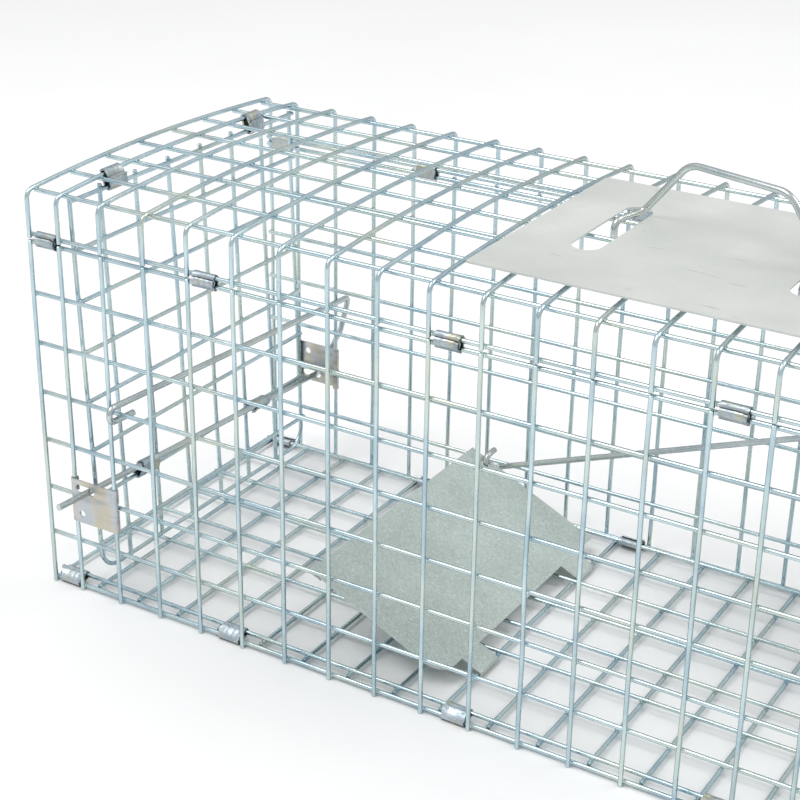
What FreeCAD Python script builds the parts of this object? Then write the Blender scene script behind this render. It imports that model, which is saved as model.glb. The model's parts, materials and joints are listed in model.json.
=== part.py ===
"""Wire live catch trap: a welded mesh cage with a pinned rear door, a falling front door,
a tilting trigger pan with its rod, a guard plate and a carrying handle.

Frame: millimetres, +Z up, origin on the ground under the middle of the cage.
-X is the rear (pinned door) end, +X the front (falling door) end, -Y the near side.
"""
import FreeCAD
import Part
import Sketcher
import math
import os
import re

Vector = FreeCAD.Vector
Rotation = FreeCAD.Rotation
UP = Vector(0, 0, 1)
FLAT = 0.001                      # an arc this close to a half circle is one

# ---------------------------------------------------------------- driving dimensions
SIZES = {
    "mesh_wire": 2.2,             # mesh wire diameter
    "form_wire": 3.2,             # pin, rod and handle wire diameter
    "weld_bite": 0.4,             # how deep crossing mesh wires sink into each other
    "mesh_pitch": 25.4,           # spacing of the cross wires along the cage
    "end_cell": 18.1,             # short cell at each end of the cage
    "cell_count": 23,             # full cells along the cage
    "row_pitch": 26.3,            # spacing of the long wires
    "row_count": 8,               # long wires in a side, the floor and the roof
    "half_width": 99.0,           # cage middle to the plane of the upright wires
    "foot_height": 2.0,           # lowest long wire above the ground
    "upright_height": 187.7,
    "roof_leg_foot": 188.6,       # lower end of the roof's bent-down wires
    "roof_height": 211.9,         # roof cross wire height at its side bends
    "roof_crown": 3.9,            # rise of the roof cross wires in the middle
    "roof_bend": 4.5,             # bend radius of a roof cross wire
    "flange_height": 190.0,       # long wire along the foot of each roof flange
    "floor_wire_height": 2.6,     # floor cross wires above the ground
    "floor_start": 1.3,           # first floor cross wire, from the rear end
    "floor_half": 95.8,           # floor cross wires, middle to end
    "clip_length": 12.0,          # folded clip along its wires
    "clip_wall": 0.8,
    "clip_gap": 0.06,             # air between a clip and the wires in it
    "clip_seam": 0.6,             # open seam of a folded clip
    "clip_first": 9.7,            # first seam clip from the rear end
    "roof_clip_start": 103.4,     # second roof seam clip from the rear end
    "floor_clip_start": 111.3,
    "floor_clip_last": 593.9,
    "clip_cells": 5,              # cells between seam clips
    "hinge_inset": 20.3,          # door hinge line from the cage end
    "hinge_height": 208.2,
    "hinge_gap": 0.1,             # air round a door's top wire in a hinge clip
    "hinge_slack": 0.6,           # extra room over the crowned roof wire in a hinge clip
    "rear_clip_near": -58.5,      # hinge clips, from the middle plane
    "rear_clip_far": 56.0,
    "front_clip_near": -52.6,
    "front_clip_far": 52.6,
    "door_row_start": 24.5,       # hinge wire to the first row wire of a door
    "door_row_count": 7,
    "door_corner": 12.0,          # bend radius of a door's bottom corners
    "door_stub": 2.4,             # door upright ends above the hinge wire
    "rear_door_half": 90.1,
    "rear_door_length": 199.4,    # hinge wire to the door's bottom wire
    "rear_door_lean": 1.9,        # degrees from upright, bottom inwards
    "rear_column_start": -68.1,
    "rear_column_count": 6,
    "front_door_half": 81.5,
    "front_door_length": 209.3,
    "front_door_lean": 16.3,
    "front_column_start": -65.75,
    "front_column_count": 6,
    "plate_sheet": 0.8,
    "plate_height": 23.8,
    "plate_lift": 53.4,           # near lock plate's middle above the ground
    "far_plate_lift": 57.2,
    "plate_wrap_gap": 0.06,
    "slot_rear": -11.0,           # ends of the pin slot from the plate's middle
    "slot_front": 1.2,
    "slot_width": 4.2,
    "slot_rise": 7.2,
    "plate_hole": 3.6,
    "plate_hole_shift": -7.6,
    "plate_hole_drop": -6.7,
    "notch_low": -0.6,            # notch in the plate's folds for the side's long wire
    "notch_high": 4.4,
    "pin_x": -281.7,              # lock pin rod, at the middle of the cage
    "pin_lift": 55.3,
    "pin_tilt": 3.0,              # degrees, near end higher
    "pin_near_end": -123.8,
    "pin_far_leg": 104.4,
    "pin_bend": 4.0,
    "pin_knee_bend": 16.0,
    "pin_bail_rise": 51.0,        # bail above the rod
    "pin_bail_shift": 18.7,       # bail towards the front
    "pin_leg_knee_rise": 30.0,
    "pin_leg_knee_shift": 14.0,
    "pin_hook_reach": -106.2,     # bail's hook outside the near side
    "pin_hook_drop": 7.4,
    "pin_hook_tail": -88.0,
    "pin_clip_near": -54.5,
    "pin_clip_far": 45.2,
    "pan_cell": 9,                # floor cross wire the pan turns on
    "pan_tilt": 24.7,             # degrees above level at rest
    "pan_sheet": 0.8,
    "pan_length": 92.3,           # pivot to raised edge
    "pan_half": 79.0,
    "pan_root": 10.3,             # pivot to the pan's lower edge
    "pan_bore_gap": 0.08,         # air round the floor wire in the pan's knuckles
    "pan_tab_inner": 43.5,
    "pan_tab_outer": 60.5,
    "pan_hem": 7.0,
    "pan_hem_gap": 0.3,
    "pan_corner": 12.0,
    "rod_hole_out": 80.2,         # pivot to the rod hole along the pan
    "rod_hole_side": 74.7,
    "rod_hole": 4.8,
    "rod_end_above": 4.5,         # rod end bent over above the pan
    "rod_end_side": 10.0,
    "rod_drop": 7.0,              # rod below its hole
    "rod_side": 86.4,             # rod from the middle plane
    "rod_slope": 0.3743,
    "rod_tip_inner": 66.0,
    "rod_tip_gap": 1.0,           # rod tip to the sweep of the front door's free edge
    "rod_bend": 4.0,
    "guide_cell": 14,             # upright wire that carries the rod guide
    "guide_sheet": 1.0,
    "guide_top": 121.0,
    "guide_low": 103.5,
    "guide_step": 108.7,          # underside of the guide where it crosses the long wire
    "guide_step_side": 95.6,
    "guide_inner": 80.6,
    "guide_slot_low": 107.4,
    "guide_slot_high": 115.4,
    "guide_slot_near": 84.2,
    "guide_slot_far": 88.6,
    "guard_start": -83.4,
    "guard_near": -80.0,
    "guard_far": 57.2,
    "guard_sheet": 0.8,
    "guard_lift": 216.95,
    "guard_corner": 2.0,
    "guard_slot_inner": 42.4,     # slots measured from the middle of the plate
    "guard_slot_outer": 56.2,
    "guard_slot_near": -40.2,
    "guard_slot_far": 25.6,
    "handle_rear": -46.2,         # hooks of the carrying handle
    "handle_front": 50.4,
    "handle_leg_side": 2.4,       # legs from the hooked wire, across the handle
    "handle_hook_side": 17.0,     # hooks reach over the slots toward the near side
    "handle_hook_top": 5.6,       # hook above and below the hooked wire
    "handle_hook_low": 4.9,
    "handle_tail_side": 3.0,
    "handle_rise": 33.3,          # grip above the hooked wires
    "handle_lean": 23.8,          # leg foot to grip corner, along the handle
    "handle_bend": 6.0,
    "handle_hook_bend": 4.0,
}

doc = FreeCAD.newDocument("live_catch_trap")
sheet = doc.addObject("Spreadsheet::Sheet", "Sizes")
for sheet_row, (alias, number) in enumerate(SIZES.items(), start=1):
    sheet.set("A%d" % sheet_row, str(number))
    sheet.setAlias("A%d" % sheet_row, alias)
doc.recompute()

HALF_LENGTH = "( end_cell + cell_count * mesh_pitch / 2 )"
NEST = "( mesh_wire - weld_bite )"
CROWN_RADIUS = "( ( half_width ^ 2 + roof_crown ^ 2 ) / ( 2 * roof_crown ) )"
CROWN_CENTRE = "( roof_height + roof_crown - %s )" % CROWN_RADIUS
ALIAS_PREFIX = {alias: "Sizes." for alias in SIZES}
parts = []


def bound(formula):
    """The formula with each driving dimension written as its cell of the sheet."""
    return re.sub(r"[a-z_]+", lambda word: ALIAS_PREFIX.get(word[0], "") + word[0], formula)


def value(formula):
    """The number a formula gives now."""
    result = sheet.evalExpression(formula)
    return float(getattr(result, "Value", result))


def minus(formula):
    return "- ( %s )" % formula


def crown(across, below="0"):
    """Height formula of a roof wire that lies 'below' the crowned cross wires."""
    reach = "( %s - %s )" % (CROWN_RADIUS, below)
    return "( %s + sqrt(%s ^ 2 - ( %s ) ^ 2 ) )" % (CROWN_CENTRE, reach, across)


# ---------------------------------------------------------------- PartDesign helpers
def keep(item, label):
    item.Label = label
    parts.append(item)
    return item


def new_body(label):
    body = doc.addObject("PartDesign::Body", label)
    body.AllowCompound = True
    return keep(body, label)


def origin_item(body, role):
    for item in body.Origin.OriginFeatures:
        if item.Role == role:
            return item
    raise ValueError(role)


def new_sketch(body, name, plane, places, spin=0.0):
    """A sketch on one of the body's own planes, moved by {axis: formula} and spun."""
    sketch = body.newObject("Sketcher::SketchObject", name)
    sketch.AttachmentSupport = [(origin_item(body, plane + "_Plane"), "")]
    sketch.MapMode = "FlatFace"
    sketch.AttachmentOffset = FreeCAD.Placement(Vector(), Rotation(UP, spin))
    for axis, formula in places.items():
        sketch.setExpression("AttachmentOffset.Base." + axis, bound(formula))
    return sketch


def dimension(sketch, kind, *geometry, formula):
    """Adds a dimension to a sketch and binds it to the sheet."""
    index = sketch.addConstraint(Sketcher.Constraint(kind, *geometry, value(formula)))
    sketch.setExpression("Constraints[%d]" % index, bound(formula))


def place_point(sketch, geometry, point, across, up):
    dimension(sketch, "DistanceX", -1, 1, geometry, point, formula=across)
    dimension(sketch, "DistanceY", -1, 1, geometry, point, formula=up)


def add_circles(sketch, diameter, centres):
    for across, up in centres:
        centre = Vector(value(across), value(up), 0)
        index = sketch.addGeometry(Part.Circle(centre, UP, value(diameter) / 2), False)
        dimension(sketch, "Diameter", index, formula=diameter)
        place_point(sketch, index, 3, across, up)


def add_outline(sketch, corners, arcs=None, closed=True):
    """Straight lines, and arcs {corner: (radius formula, turn)}, through bound corners.

    turn is 1 for an anticlockwise arc and -1 for a clockwise one, each of half a circle or less.
    A half circle stands on an upright or a level chord.
    """
    arcs = arcs or {}
    points = [Vector(value(across), value(up), 0) for across, up in corners]
    count = len(points)
    ends = []
    for index in range(count if closed else count - 1):
        start, end = points[index], points[(index + 1) % count]
        if index not in arcs:
            item = sketch.addGeometry(Part.LineSegment(start, end), False)
            ends.append((item, 1, 2))
            continue
        radius, turn = arcs[index]
        chord = end - start
        half = chord.Length / 2
        bulge = value(radius) - math.sqrt(max(value(radius) ** 2 - half ** 2, 0.0))
        side = Vector(chord.y, -chord.x, 0).normalize() * (bulge * turn)
        middle = (start + end) / 2 + side
        item = sketch.addGeometry(Part.Arc(start, middle, end), False)
        flipped = sketch.getPoint(item, 1).distanceToPoint(start) > half
        ends.append((item, 2, 1) if flipped else (item, 1, 2))
    for index in range(len(ends)):
        if index + 1 < len(ends) or closed:
            item, _, last = ends[index]
            follower, first, _ = ends[(index + 1) % len(ends)]
            sketch.addConstraint(Sketcher.Constraint("Coincident", item, last, follower, first))
    for index, (across, up) in enumerate(corners):
        item, point = (ends[index][0], ends[index][1]) if index < len(ends) else (ends[-1][0], ends[-1][2])
        place_point(sketch, item, point, across, up)
    for index, (radius, _) in arcs.items():
        item = ends[index][0]
        chord = points[(index + 1) % count] - points[index]
        if value(radius) - chord.Length / 2 > FLAT:
            dimension(sketch, "Radius", item, formula=radius)
        elif abs(chord.x) < abs(chord.y):
            dimension(sketch, "DistanceX", -1, 1, item, 3, formula=corners[index][0])
        else:
            dimension(sketch, "DistanceY", -1, 1, item, 3, formula=corners[index][1])


def rectangle(left, low, right, high):
    return [(left, low), (right, low), (right, high), (left, high)]


def pad(body, name, sketch, length, backwards=False):
    feature = body.newObject("PartDesign::Pad", name)
    feature.Profile = sketch
    feature.setExpression("Length", bound(length))
    feature.Reversed = backwards
    body.Tip = feature
    return feature


def pocket(body, name, sketch, length, backwards=False):
    feature = body.newObject("PartDesign::Pocket", name)
    feature.Profile = sketch
    feature.setExpression("Length", bound(length))
    feature.Reversed = backwards
    body.Tip = feature
    return feature


def repeat(body, name, features, axis, length, count):
    pattern = body.newObject("PartDesign::LinearPattern", name)
    pattern.Originals = features
    pattern.Direction = (origin_item(body, axis + "_Axis"), [""])
    pattern.setExpression("Length", bound(length))
    pattern.setExpression("Occurrences", bound(count))
    body.Tip = pattern
    return pattern


def pipe(body, name, profile, spine):
    feature = body.newObject("PartDesign::AdditivePipe", name)
    feature.Profile = profile
    feature.Spine = spine
    feature.Transition = "Right corner"
    body.Tip = feature
    return feature


# ---------------------------------------------------------------- mesh panels
def long_wires(body, centres):
    """Wires along the whole cage, one at each centre of the YZ plane."""
    start = minus(HALF_LENGTH + " + mesh_wire / 2")
    profile = new_sketch(body, "long_profile", "YZ", {"z": start})
    add_circles(profile, "mesh_wire", centres)
    pad(body, "long_wires", profile, "2 * %s + mesh_wire" % HALF_LENGTH)


def side_panel(label, turn):
    """One side of the cage, built as the near side: uprights outside, long wires inside."""
    body = new_body(label)
    first = {"x": "end_cell - " + HALF_LENGTH, "y": "- half_width"}
    profile = new_sketch(body, "upright_profile", "XY", first)
    add_circles(profile, "mesh_wire", [("0", "0")])
    upright = pad(body, "upright", profile, "upright_height")
    repeat(body, "uprights", [upright], "X", "cell_count * mesh_pitch", "cell_count + 1")
    corner = new_sketch(body, "corner_profile", "XY", {"y": "- half_width"})
    add_circles(corner, "mesh_wire", [("- " + HALF_LENGTH, "0"), (HALF_LENGTH, "0")])
    pad(body, "corner_uprights", corner, "upright_height")
    inside = "- half_width + " + NEST
    rows = range(int(value("row_count")))
    long_wires(body, [(inside, "foot_height + %d * row_pitch" % row) for row in rows])
    body.Placement = FreeCAD.Placement(Vector(), Rotation(UP, turn))


def long_wire_places():
    """Distances across of the long wires of the floor and the roof."""
    count = int(value("row_count"))
    return ["( %s * row_pitch )" % (index - (count - 1) / 2) for index in range(count)]


def floor_panel():
    body = new_body("floor_panel")
    places = {"x": "floor_start - " + HALF_LENGTH, "y": "floor_wire_height", "z": "- floor_half"}
    profile = new_sketch(body, "cross_profile", "XZ", places)
    add_circles(profile, "mesh_wire", [("0", "0")])
    cross = pad(body, "cross_wire", profile, "2 * floor_half")
    repeat(body, "cross_wires", [cross], "X", "( cell_count + 1 ) * mesh_pitch", "cell_count + 2")
    lift = "floor_wire_height + " + NEST
    long_wires(body, [(across, lift) for across in long_wire_places()])


def top_panel():
    """The roof: cross wires whose ends bend down as legs, over long wires.
    A cross wire is crowned in straight steps that meet midway between the long wires."""
    body = new_body("top_panel")
    bend_side = "( half_width - roof_bend )"
    leg_top = crown(bend_side, "roof_bend")
    crown_side = "( %s * %s / ( %s - roof_bend ) )" % (bend_side, CROWN_RADIUS, CROWN_RADIUS)
    steps = int(value("row_count")) // 2
    places = ["( %d * row_pitch )" % step for step in range(1 - steps, steps)]
    tops = [minus(crown_side)] + places + [crown_side]
    corners = [("- half_width", "roof_leg_foot"), ("- half_width", leg_top)]
    corners += [(across, crown(across)) for across in tops]
    corners += [("half_width", leg_top), ("half_width", "roof_leg_foot")]
    arcs = {1: ("roof_bend", -1), len(tops) + 1: ("roof_bend", -1)}
    starts = [("end_cell - " + HALF_LENGTH, "cell_count * mesh_pitch", "cell_count + 1"),
              ("- " + HALF_LENGTH, "2 * " + HALF_LENGTH, "2")]
    for index, (start, length, count) in enumerate(starts):
        spine = new_sketch(body, "crown_path_%d" % index, "YZ", {"z": start})
        add_outline(spine, corners, arcs, closed=False)
        places = {"x": start, "y": "- half_width", "z": "roof_leg_foot"}
        profile = new_sketch(body, "crown_profile_%d" % index, "XY", places)
        add_circles(profile, "mesh_wire", [("0", "0")])
        feature = pipe(body, "crown_wire_%d" % index, profile, spine)
        repeat(body, "crown_wires_%d" % index, [feature], "X", length, count)
    centres = [(across, crown(across, NEST)) for across in long_wire_places()]
    flange = "( half_width - %s )" % NEST
    centres += [(minus(flange), "flange_height"), (flange, "flange_height")]
    long_wires(body, centres)


# ---------------------------------------------------------------- folded clips
def sleeve(body, name, plane, places, reach, spin, bore, gap="clip_gap"):
    """A folded sleeve round two wires that lie 'reach' apart, with an open seam on one flat."""
    inner = "( %s / 2 + %s )" % (bore, gap)
    outer = "( %s + clip_wall )" % inner
    seam_low = "( ( %s ) / 2 - clip_seam / 2 )" % reach
    seam_high = "( ( %s ) / 2 + clip_seam / 2 )" % reach
    corners = [("0", minus(outer)), (reach, minus(outer)), (reach, outer), (seam_high, outer),
               (seam_high, inner), (reach, inner), (reach, minus(inner)), ("0", minus(inner)),
               ("0", inner), (seam_low, inner), (seam_low, outer), ("0", outer)]
    arcs = {1: (outer, 1), 5: (inner, -1), 7: (inner, -1), 11: (outer, 1)}
    profile = new_sketch(body, name + "_profile", plane, places, spin)
    add_outline(profile, corners, arcs)
    return pad(body, name, profile, "clip_length")


def seam_clips(label, side, first_wire, second_wire, starts):
    """Clips along one seam. Wires are (distance across, height) formulas for the near side."""
    body = new_body(label)
    across = [side + " * ( %s )" % wire[0] for wire in (first_wire, second_wire)]
    gap_across = value(across[1]) - value(across[0])
    gap_up = value(second_wire[1]) - value(first_wire[1])
    spin = math.degrees(math.atan2(gap_up, gap_across))
    reach = "sqrt((%s - %s) ^ 2 + (%s - (%s)) ^ 2)" % (across[1], across[0], second_wire[1], first_wire[1])
    for index, (start, length, count) in enumerate(starts):
        low_end = "%s - %s - clip_length / 2" % (start, HALF_LENGTH)
        places = {"x": across[0], "y": first_wire[1], "z": low_end}
        clip = sleeve(body, "clip_%d" % index, "YZ", places, reach, spin, "mesh_wire")
        if value(count) > 1:
            repeat(body, "clips_%d" % index, [clip], "X", length, count)


def all_seam_clips():
    side_wire = "( - half_width + %s )" % NEST
    eave = [(side_wire, "( foot_height + ( row_count - 1 ) * row_pitch )"), (side_wire, "flange_height")]
    floor_edge = "( ( 1 - row_count ) / 2 * row_pitch )"
    sill = [(side_wire, "foot_height"), (floor_edge, "( floor_wire_height + %s )" % NEST)]
    spread = "clip_cells * mesh_pitch"
    top_starts = [("clip_first", "1", "1"), ("roof_clip_start", "4 * " + spread, "5")]
    low_starts = [("clip_first", "1", "1"), ("floor_clip_start", "3 * " + spread, "4"),
                  ("floor_clip_last", "1", "1")]
    for name, side in (("near", "1"), ("far", "-1")):
        seam_clips(name + "_top_clips", side, eave[0], eave[1], top_starts)
        seam_clips(name + "_bottom_clips", side, sill[0], sill[1], low_starts)


def hinge_clips(label, end, turn):
    """Two clips that hang a door's top wire from the roof cross wire above it."""
    body = new_body(label)
    for name, across in (("near", end + "_clip_near"), ("far", end + "_clip_far")):
        if turn:
            across = minus(across)
        rise = "( %s - hinge_height )" % crown(across)
        shift = "( %s - end_cell - ( %s - hinge_inset ) )" % (HALF_LENGTH, HALF_LENGTH)
        spin = math.degrees(math.atan2(value(rise), -value(shift)))
        reach = "( sqrt(%s ^ 2 + %s ^ 2) + hinge_slack )" % (rise, shift)
        places = {"x": "hinge_inset - " + HALF_LENGTH, "y": "hinge_height",
                  "z": minus("%s + clip_length / 2" % across)}
        sleeve(body, name + "_clip", "XZ", places, reach, spin, "mesh_wire", "hinge_gap")
    body.Placement = FreeCAD.Placement(Vector(), Rotation(UP, turn))


# ---------------------------------------------------------------- pressed plates
def lock_plate(label, side, lift):
    """A plate folded round two uprights, with a slot for the pin. Origin: its middle, between
    the uprights, on their centre plane. The far one is the same plate turned over."""
    body = new_body(label)
    inner = "( mesh_wire / 2 + plate_wrap_gap )"
    outer = "( mesh_wire / 2 + plate_wrap_gap + plate_sheet )"
    half = "( mesh_pitch / 2 )"
    tail = "( %s - plate_sheet )" % half
    corners = [(minus(half), minus(outer)), (half, minus(outer)), (half, outer), (tail, outer),
               (tail, inner), (half, inner), (half, minus(inner)), (minus(half), minus(inner)),
               (minus(half), inner), (minus(tail), inner), (minus(tail), outer), (minus(half), outer)]
    arcs = {1: (outer, 1), 5: (inner, -1), 7: (inner, -1), 11: (outer, 1)}
    profile = new_sketch(body, "plate_profile", "XY", {"z": "- plate_height / 2"})
    add_outline(profile, corners, arcs)
    pad(body, "folded_plate", profile, "plate_height")
    low, high = "slot_rise - slot_width / 2", "slot_rise + slot_width / 2"
    left, right = "slot_rear + slot_width / 2", "slot_front - slot_width / 2"
    openings = new_sketch(body, "openings", "XZ", {"z": "half_width"})
    add_outline(openings, [(left, low), (right, low), (right, high), (left, high)],
                {1: ("slot_width / 2", 1), 3: ("slot_width / 2", 1)})
    add_circles(openings, "plate_hole", [("plate_hole_shift", "plate_hole_drop")])
    pocket(body, "slot_and_hole", openings, "half_width")
    notch = new_sketch(body, "notch", "XZ", {})
    add_outline(notch, rectangle("- mesh_pitch", "notch_low", "mesh_pitch", "notch_high"))
    pocket(body, "fold_notch", notch, "half_width")
    middle = "end_cell + mesh_pitch / 2 - " + HALF_LENGTH
    body.Placement = FreeCAD.Placement(Vector(), Rotation(Vector(1, 0, 0), 0 if side < 0 else 180))
    body.setExpression("Placement.Base.x", bound(middle))
    body.setExpression("Placement.Base.y", bound("%d * half_width" % side))
    body.setExpression("Placement.Base.z", bound(lift))


def guard_plate():
    """A flat sheet on the roof, with a slot for each leg of the handle."""
    body = new_body("guard_plate")
    profile = new_sketch(body, "plate_profile", "XY", {"z": "guard_lift"})
    start, inset = "guard_start", "guard_start + guard_corner"
    low, high = "guard_near + guard_corner", "guard_far - guard_corner"
    corners = [(inset, "guard_far"), (start, high), (start, low), (inset, "guard_near"),
               (minus(inset), "guard_near"), (minus(start), low), (minus(start), high),
               (minus(inset), "guard_far")]
    add_outline(profile, corners, {index: ("guard_corner", 1) for index in (0, 2, 4, 6)})
    for side in (-1, 1):
        edges = ["%d * guard_slot_inner" % side, "%d * guard_slot_outer" % side]
        left, outer = edges if side > 0 else edges[::-1]
        radius = "( guard_slot_outer - guard_slot_inner ) / 2"
        low, high = "guard_slot_near + " + radius, "guard_slot_far - " + radius
        add_outline(profile, [(outer, low), (outer, high), (left, high), (left, low)],
                    {1: (radius, 1), 3: (radius, 1)})
    pad(body, "plate", profile, "guard_sheet")


def rod_guide():
    """A tab curled round an upright of the far side, with an eye that the rod slides through."""
    body = new_body("rod_guide")
    inner = "( mesh_wire / 2 + plate_wrap_gap )"
    outer = "( %s + guide_sheet )" % inner
    reach = "( half_width - guide_inner )"
    wrap = new_sketch(body, "wrap_profile", "XY", {"z": "guide_step"})
    corners = [(outer, minus(reach)), (outer, "0"), (minus(outer), "0"), (minus(inner), "0"),
               (inner, "0"), (inner, minus(reach))]
    add_outline(wrap, corners, {1: (outer, 1), 3: (inner, -1)})
    pad(body, "wrap", wrap, "guide_top - guide_step")
    step = "( half_width - guide_step_side )"
    tab = new_sketch(body, "tab_profile", "YZ", {"z": inner})
    add_outline(tab, rectangle(minus(reach), "guide_low", minus(step), "guide_top"))
    pad(body, "tab", tab, "guide_sheet")
    eye = new_sketch(body, "eye_profile", "YZ", {})
    near, far = "( guide_slot_near - half_width )", "( guide_slot_far - half_width )"
    radius = "( guide_slot_far - guide_slot_near ) / 2"
    low, high = "guide_slot_low + " + radius, "guide_slot_high - " + radius
    add_outline(eye, [(far, low), (far, high), (near, high), (near, low)], {1: (radius, 1), 3: (radius, 1)})
    pocket(body, "eye", eye, "4 * guide_sheet", backwards=True)
    body.setExpression("Placement.Base.x", bound("end_cell + guide_cell * mesh_pitch - " + HALF_LENGTH))
    body.setExpression("Placement.Base.y", bound("half_width"))


# ---------------------------------------------------------------- doors
def door(label, name, turn):
    """A mesh door hanging from its top wire. Origin: the middle of that wire."""
    body = new_body(label)
    half, length = name + "_door_half", name + "_door_length"
    layer = "( - %s )" % NEST
    rows = [("0", "0")] + [("0", "- door_row_start - %d * row_pitch" % row)
                           for row in range(int(value("door_row_count")))]
    profile = new_sketch(body, "row_profile", "XZ", {"z": "- %s - mesh_wire / 2" % half})
    add_circles(profile, "mesh_wire", rows)
    pad(body, "row_wires", profile, "2 * %s + mesh_wire" % half)
    columns = range(int(value(name + "_column_count")))
    places = {"x": layer, "z": "- " + length}
    uprights = new_sketch(body, "column_profile", "XY", places)
    add_circles(uprights, "mesh_wire",
                [("0", "%s_column_start + %d * row_pitch" % (name, column)) for column in columns])
    pad(body, "column_wires", uprights, length + " + door_stub")
    corner_low = "door_corner - " + length
    corner_side = "( %s - door_corner )" % half
    spine = new_sketch(body, "edge_path", "YZ", {"z": layer})
    add_outline(spine, [("- " + half, "mesh_wire / 2"), ("- " + half, corner_low),
                        (minus(corner_side), "- " + length), (corner_side, "- " + length),
                        (half, corner_low), (half, "mesh_wire / 2")],
                {1: ("door_corner", 1), 3: ("door_corner", 1)}, closed=False)
    edge = new_sketch(body, "edge_profile", "XY", {"x": layer, "y": "- " + half, "z": "mesh_wire / 2"})
    add_circles(edge, "mesh_wire", [("0", "0")])
    pipe(body, "edge_wire", edge, spine)
    lean = Rotation(Vector(0, 1, 0), -value(name + "_door_lean"))
    body.Placement = FreeCAD.Placement(Vector(), Rotation(UP, turn) * lean)
    side = 1 if turn else -1
    body.setExpression("Placement.Base.x", bound("%d * ( %s - hinge_inset )" % (side, HALF_LENGTH)))
    body.setExpression("Placement.Base.z", bound("hinge_height"))


# ---------------------------------------------------------------- bent wire forms
def bent_wire(label, points, bends, placement):
    """A round wire through the points, with a bend radius at each inner point."""
    edges = []
    start = points[0]
    for index in range(1, len(points) - 1):
        before = (points[index - 1] - points[index]).normalize()
        after = (points[index + 1] - points[index]).normalize()
        half_angle = before.getAngle(after) / 2
        reach = bends[index - 1] / math.tan(half_angle)
        first, last = points[index] + before * reach, points[index] + after * reach
        inward = (before + after).normalize()
        centre = points[index] + inward * (bends[index - 1] / math.sin(half_angle))
        edges.append(Part.makeLine(start, first))
        edges.append(Part.Arc(first, centre - inward * bends[index - 1], last).toShape())
        start = last
    edges.append(Part.makeLine(start, points[-1]))
    direction = points[1] - points[0]
    profile = Part.Wire(Part.makeCircle(value("form_wire") / 2, points[0], direction))
    wire = doc.addObject("Part::Feature", label)
    wire.Shape = Part.Wire(edges).makePipeShell([profile], True, False)
    wire.Placement = placement
    keep(wire, label)


def pin_placement():
    tilt = Rotation(Vector(1, 0, 0), -value("pin_tilt"))
    return FreeCAD.Placement(Vector(value("pin_x"), 0, value("pin_lift")), tilt)


def lock_pin():
    """Rod through both lock plates, bent up outside the far side and back as a bail whose
    end hooks under a long wire of the near side. Local Y runs along the rod."""
    leg = value("pin_far_leg")
    knee = (value("pin_leg_knee_shift"), value("pin_leg_knee_rise"))
    shift, rise = value("pin_bail_shift"), value("pin_bail_rise")
    hook = value("pin_hook_reach")
    drop = rise - value("pin_hook_drop")
    bend = value("pin_bend")
    points = [Vector(0, value("pin_near_end"), 0), Vector(0, leg, 0), Vector(knee[0], leg, knee[1]),
              Vector(shift, leg, rise), Vector(shift, hook, rise), Vector(shift, hook, drop),
              Vector(shift, value("pin_hook_tail"), drop)]
    hook_bend = value("pin_hook_drop") / 2 - value("clip_gap")
    bends = [bend, value("pin_knee_bend"), bend, hook_bend, hook_bend]
    bent_wire("lock_pin", points, bends, pin_placement())


def pin_clips():
    """Two clips that tie the lock pin's rod to a row wire of the rear door."""
    body = new_body("pin_clips")
    row = "( door_row_start + 5 * row_pitch )"
    lean = "rear_door_lean * 1 deg"
    wire_x = "( hinge_inset - %s + %s * sin(%s) )" % (HALF_LENGTH, row, lean)
    wire_z = "( hinge_height - %s * cos(%s) )" % (row, lean)
    for name, across in (("near", "pin_clip_near"), ("far", "pin_clip_far")):
        away = value("%s - pin_x" % wire_x)
        below = value("%s - pin_lift + %s * sin(pin_tilt * 1 deg)" % (wire_z, across))
        spin = math.degrees(math.atan2(below, away))
        places = {"z": minus("%s + clip_length / 2" % across)}
        sleeve(body, name + "_clip", "XZ", places, str(math.hypot(away, below)), spin, "form_wire")
    body.Placement = pin_placement()


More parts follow.
